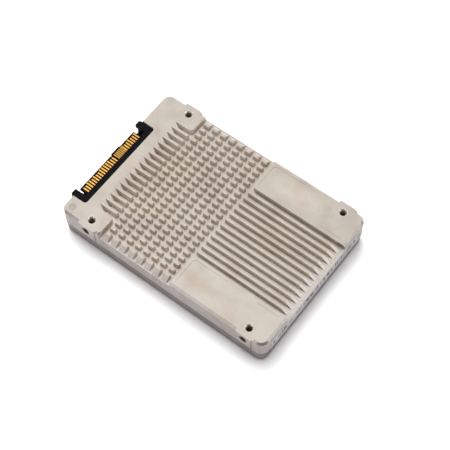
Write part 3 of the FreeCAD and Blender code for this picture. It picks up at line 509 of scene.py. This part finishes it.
board_material, tree, shader = new_material("glass_epoxy_laminate_solder_mask")
place = add(tree, "ShaderNodeTexCoord").outputs["Object"]
tracks = add(tree, "ShaderNodeTexBrick", {"Scale": 1.0, "Brick Width": 0.0042, "Row Height": 0.0009,
                                          "Mortar Size": 0.00018, "Mortar Smooth": 0.1}, {"Vector": place})
mask_tone = add(tree, "ShaderNodeMix",
                {"data_type": "RGBA", "A": linear("#1B5A38"), "B": linear("#0E3B24")},
                {"Factor": tracks.outputs["Fac"]})
tree.links.new(mask_tone.outputs[2], shader.inputs["Base Color"])
mask_step = add(tree, "ShaderNodeBump", {"Strength": 0.4, "Distance": 0.00003, "invert": True},
                {"Height": tracks.outputs["Fac"]})
tree.links.new(mask_step.outputs["Normal"], shader.inputs["Normal"])
shader.inputs["Roughness"].default_value = 0.28
for board in ("main_board", "second_board"):
    dress(board, board_material)


# Chip packages: controller, memory and power chips, soldered to the boards by tin balls under them. Their
# bodies are black epoxy moulding compound, matt from the mould's eroded surface.

moulded_material, tree, shader = new_material("epoxy_moulding_compound_eroded")
place = add(tree, "ShaderNodeTexCoord").outputs["Object"]
erosion = add(tree, "ShaderNodeTexNoise", {"Scale": per_metre(0.2), "Detail": 2.0}, {"Vector": place})
tone = add(tree, "ShaderNodeValToRGB", {"stops": [(0.3, linear("#1C1C1D")), (0.7, linear("#2B2B2D"))]},
           {"Fac": erosion.outputs["Fac"]})
tree.links.new(tone.outputs["Color"], shader.inputs["Base Color"])
pitting = add(tree, "ShaderNodeBump", {"Strength": 0.3, "Distance": 0.00002},
              {"Height": erosion.outputs["Fac"]})
tree.links.new(pitting.outputs["Normal"], shader.inputs["Normal"])
shader.inputs["Roughness"].default_value = 0.62
for chips in ("controller_chip", "buffer_memory_chips", "flash_main_upper", "flash_main_lower",
              "flash_second_upper", "flash_second_lower", "power_chip"):
    dress(chips, moulded_material)


# Heat pads: soft silicone rubber filled with ceramic powder, cast in sheets and cut to size. They are laid
# between the hot packages and the case, and stick there by their own tack.

pad_material, tree, shader = new_material("ceramic_filled_silicone_rubber")
place = add(tree, "ShaderNodeTexCoord").outputs["Object"]
filler = add(tree, "ShaderNodeTexNoise", {"Scale": per_metre(0.4), "Detail": 4.0}, {"Vector": place})
tone = add(tree, "ShaderNodeValToRGB", {"stops": [(0.3, linear("#8FA0B4")), (0.7, linear("#A9B7C6"))]},
           {"Fac": filler.outputs["Fac"]})
tree.links.new(tone.outputs["Color"], shader.inputs["Base Color"])
unevenness = add(tree, "ShaderNodeBump", {"Strength": 0.4, "Distance": 0.00005},
                 {"Height": filler.outputs["Fac"]})
tree.links.new(unevenness.outputs["Normal"], shader.inputs["Normal"])
shader.inputs["Roughness"].default_value = 0.75
for pad in ("controller_pad", "upper_heat_pads", "lower_heat_pads"):
    dress(pad, pad_material)


# Hold-up capacitors: polymer tantalum blocks, moulded in dark brown epoxy and soldered in a row on the main
# board. They keep the drive alive while it saves its data after a power cut.

capacitor_material, tree, shader = new_material("tantalum_capacitor_epoxy")
place = add(tree, "ShaderNodeTexCoord").outputs["Object"]
resin = add(tree, "ShaderNodeTexNoise", {"Scale": per_metre(0.3), "Detail": 2.0}, {"Vector": place})
tone = add(tree, "ShaderNodeValToRGB", {"stops": [(0.3, linear("#2B2620")), (0.7, linear("#3B342B"))]},
           {"Fac": resin.outputs["Fac"]})
tree.links.new(tone.outputs["Color"], shader.inputs["Base Color"])
shader.inputs["Roughness"].default_value = 0.5
dress("hold_up_capacitors", capacitor_material)


# Inductors: blocks of the power supply, pressed from iron powder round a coil and soldered down. The powder
# leaves coarse dark grains at their faces.

powder_material, tree, shader = new_material("pressed_iron_powder")
place = add(tree, "ShaderNodeTexCoord").outputs["Object"]
grains = add(tree, "ShaderNodeTexVoronoi", {"Scale": per_metre(0.25)}, {"Vector": place})
tone = add(tree, "ShaderNodeValToRGB", {"stops": [(0.1, linear("#4A4B4E")), (0.7, linear("#2E2F31"))]},
           {"Fac": grains.outputs["Distance"]})
tree.links.new(tone.outputs["Color"], shader.inputs["Base Color"])
shader.inputs["Roughness"].default_value = 0.66
dress("power_inductors", powder_material)


# Board connectors: a plug on one board and a socket on the other, which join them face to face. Both are
# moulded in ivory liquid crystal polymer.

ivory_material, tree, shader = new_material("moulded_liquid_crystal_polymer_ivory")
place = add(tree, "ShaderNodeTexCoord").outputs["Object"]
mould_flow = add(tree, "ShaderNodeTexNoise", {"Scale": per_metre(1.2), "Detail": 3.0}, {"Vector": place})
tone = add(tree, "ShaderNodeValToRGB", {"stops": [(0.3, linear("#D9D0BB")), (0.7, linear("#E8E0CE"))]},
           {"Fac": mould_flow.outputs["Fac"]})
tree.links.new(tone.outputs["Color"], shader.inputs["Base Color"])
shader.inputs["Roughness"].default_value = 0.55
for half in ("board_plug", "board_socket"):
    dress(half, ivory_material)


# Spacers: six-sided brass posts between the boards, cut from drawn bar, with fine rings left by the tool.
# They stay bare metal.

brass_material, tree, shader = new_material("turned_brass")
place = add(tree, "ShaderNodeTexCoord").outputs["Object"]
rings = add(tree, "ShaderNodeTexWave", {"bands_direction": "Z", "Scale": per_metre(0.5), "Distortion": 0.3},
            {"Vector": place})
tone = add(tree, "ShaderNodeValToRGB", {"stops": [(0.0, linear("#B08A45")), (1.0, linear("#D8B36A"))]},
           {"Fac": rings.outputs["Fac"]})
tree.links.new(tone.outputs["Color"], shader.inputs["Base Color"])
shader.inputs["Metallic"].default_value = 1.0
shader.inputs["Roughness"].default_value = 0.32
dress("board_spacers", brass_material)


# Screws: cold-headed steel with rolled threads, which hold the boards and the cover to the housing's posts.
# Their clear zinc coat is faintly bluish and slightly uneven.

zinc_material, tree, shader = new_material("zinc_plated_steel")
place = add(tree, "ShaderNodeTexCoord").outputs["Object"]
plating = add(tree, "ShaderNodeTexNoise", {"Scale": per_metre(0.6), "Detail": 4.0}, {"Vector": place})
tone = add(tree, "ShaderNodeValToRGB", {"stops": [(0.3, linear("#9EA2A6")), (0.7, linear("#C2C5C8"))]},
           {"Fac": plating.outputs["Fac"]})
tree.links.new(tone.outputs["Color"], shader.inputs["Base Color"])
satin = add(tree, "ShaderNodeMapRange", {"To Min": 0.25, "To Max": 0.45}, {"Value": plating.outputs["Fac"]})
tree.links.new(satin.outputs["Result"], shader.inputs["Roughness"])
shader.inputs["Metallic"].default_value = 1.0
for screws in ("board_screws", "cover_screws"):
    dress(screws, zinc_material)


# Threads: the eight M3 mounting holes are tapped straight into the casting. Each thread is a helix of fresh
# cut metal that stands in from the wall of its hole.

hole_radius = pattern["dims"]["hole_r_mm"] / 1000
thread_pitch = 0.0005
thread_height = 0.00022
thread_start = 0.0007
face_thread_length = 0.0034
side_thread_length = 0.0009
turn_steps = 28

cut_material, tree, shader = new_material("tapped_aluminium_thread")
place = add(tree, "ShaderNodeTexCoord").outputs["Object"]
swarf = add(tree, "ShaderNodeTexNoise", {"Scale": per_metre(0.15), "Detail": 2.0}, {"Vector": place})
tone = add(tree, "ShaderNodeValToRGB", {"stops": [(0.3, linear("#6B584C")), (0.7, linear("#8A7466"))]},
           {"Fac": swarf.outputs["Fac"]})
tree.links.new(tone.outputs["Color"], shader.inputs["Base Color"])
shader.inputs["Metallic"].default_value = 0.6
shader.inputs["Roughness"].default_value = 0.45


def tapped_thread(name, mouth, direction, length):
    """Helical ridge round a hole's wall, of this length from where the countersink ends."""
    turn = direction.to_track_quat("Z", "Y").to_matrix()
    mesh = bmesh.new()
    previous = None
    steps = int(length / thread_pitch * turn_steps)
    root = 0.45 * thread_pitch
    for step in range(steps + 1):
        angle = 2 * math.pi * step / turn_steps
        depth = thread_start + thread_pitch * step / turn_steps
        taper = min(1.0, step / turn_steps, (steps - step) / turn_steps)
        ring = []
        for radius, offset in ((hole_radius, -root), (hole_radius - thread_height * taper, 0.0),
                               (hole_radius, root)):
            local = Vector((radius * math.cos(angle), radius * math.sin(angle), depth + offset))
            ring.append(mesh.verts.new(mouth + turn @ local))
        if previous:
            for side in (0, 1):
                mesh.faces.new((previous[side], ring[side], ring[side + 1], previous[side + 1]))
        previous = ring
    data = bpy.data.meshes.new(name)
    mesh.normal_update()
    mesh.to_mesh(data)
    mesh.free()
    data.materials.append(cut_material)
    piece = bpy.data.objects.new(name, data)
    bpy.context.scene.collection.objects.link(piece)
    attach(piece, "root")


for column, side in (("left", -1), ("right", 1)):
    for row_name, end in (("front", 1), ("rear", -1)):
        hole = f"{row_name}_{column}"
        face_mouth = centre + Vector((side * half_across, end * half_along, 0))
        side_mouth = Vector((side * cad_box[1].x, face_mouth.y, side_hole_z))
        tapped_thread("face_thread_" + hole, face_mouth, Vector((0, 0, -1)), face_thread_length)
        tapped_thread("side_thread_" + hole, side_mouth, Vector((-side, 0, 0)), side_thread_length)


# Camera: the photograph's own, high over the drive's left rear corner. Its place and axes were fitted to
# the corners and hole centres that the photograph shows.

eye = Vector((-0.190175, -0.153107, 0.45154))
right = Vector((0.60267, -0.79797, -0.00573))
down = Vector((-0.70192, -0.52669, -0.47948))
forward = Vector((0.37959, 0.29299, -0.87753))
camera_data = bpy.data.cameras.new("camera")
camera_data.lens = 102.15
camera_data.sensor_width = 36
camera_data.clip_start = 0.01
camera = bpy.data.objects.new("camera", camera_data)
axes = Matrix((right, -down, -forward)).transposed()
camera.matrix_world = Matrix.Translation(eye) @ axes.to_4x4()
bpy.context.scene.collection.objects.link(camera)
bpy.context.scene.camera = camera


# Table: a plain matt white surface that the drive lies on, wide enough for the photograph's angle to show
# nothing but white behind the drive.

table_material, tree, shader = new_material("white_table")
shader.inputs["Base Color"].default_value = linear("#FFFFFF")
shader.inputs["Roughness"].default_value = 0.9
table_mesh = bpy.data.meshes.new("table")
half_side = 3.0
table_corners = [(-half_side, -half_side, 0), (half_side, -half_side, 0), (half_side, half_side, 0),
                 (-half_side, half_side, 0)]
table_mesh.from_pydata(table_corners, [], [(0, 1, 2, 3)])
table_mesh.materials.append(table_material)
table = bpy.data.objects.new("table", table_mesh)
bpy.context.scene.collection.objects.link(table)


# Light: one broad soft box high above the drive and one beyond it, three weak ones at its rear and left,
# and a pale surround that is dimmer low at the left rear, where the room is open.

def soft_box(name, place, size, power):
    """Square area light at a place, turned to the drive."""
    data = bpy.data.lights.new(name, "AREA")
    data.shape = "SQUARE"
    data.size = size
    data.energy = power
    lamp = bpy.data.objects.new(name, data)
    lamp.location = place
    lamp.rotation_euler = (-Vector(place)).to_track_quat("-Z", "Y").to_euler()
    bpy.context.scene.collection.objects.link(lamp)


soft_box("top_soft_box", (0.14, 0.2, 1.2), 0.8, 14)
soft_box("back_soft_box", (0.5, 0.7, 1.0), 0.9, 7.5)
soft_box("rear_soft_box", (0.42, -0.9, 0.4), 0.45, 0.95)
soft_box("ramp_soft_box", (0.43, -0.78, 0.74), 0.3, 0.46)
soft_box("left_soft_box", (-1.0, 0.3, 0.35), 0.35, 0.45)
world = bpy.data.worlds.new("surround")
world.use_nodes = True
sky = world.node_tree
open_side = (-0.58, -0.67, 0.46)
looking = add(sky, "ShaderNodeTexCoord").outputs["Generated"]
room_side = add(sky, "ShaderNodeVectorMath", {"operation": "DOT_PRODUCT", 1: open_side}, {0: looking})
dimming = add(sky, "ShaderNodeMapRange",
              {"From Min": 0.7, "From Max": 0.95, "To Min": 0.42, "To Max": 0.24},
              {"Value": room_side.outputs["Value"]})
sky.links.new(dimming.outputs["Result"], sky.nodes["Background"].inputs["Strength"])
sky.nodes["Background"].inputs["Color"].default_value = linear("#FBFAFE")
bpy.context.scene.world = world
bpy.context.scene.view_settings.view_transform = "Standard"
